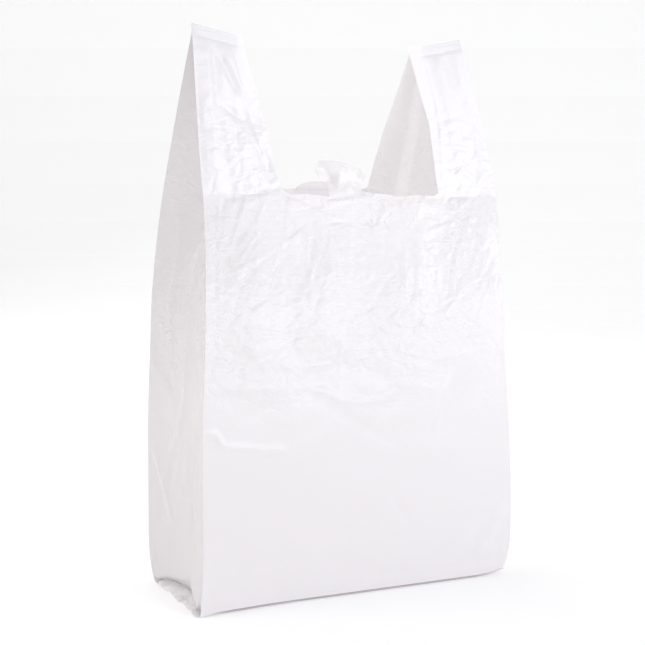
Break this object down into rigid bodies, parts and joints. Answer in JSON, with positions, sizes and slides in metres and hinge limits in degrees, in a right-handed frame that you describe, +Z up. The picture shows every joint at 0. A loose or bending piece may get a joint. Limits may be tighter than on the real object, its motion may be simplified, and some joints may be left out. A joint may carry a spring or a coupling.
{
  "type": "plastic carrier bag",
  "caption": "Thin white film carrier bag standing open, with gusseted sides, two welded loop handles, a U-shaped mouth with torn block tabs and a folded flat base.",
  "frame": {"origin": "middle of the underside of the base, on the floor", "axes": "+Z up to the handles, front panel faces -Y, +X to the right seen from the front"},
  "size_m": [0.281, 0.1298, 0.4593],
  "materials": {
    "film": "thin translucent white polyethylene film, soft sheen, finely crinkled"
  },
  "bodies": {
    "root": {"carrier_bag": "film"}
  },
  "joints": []
}
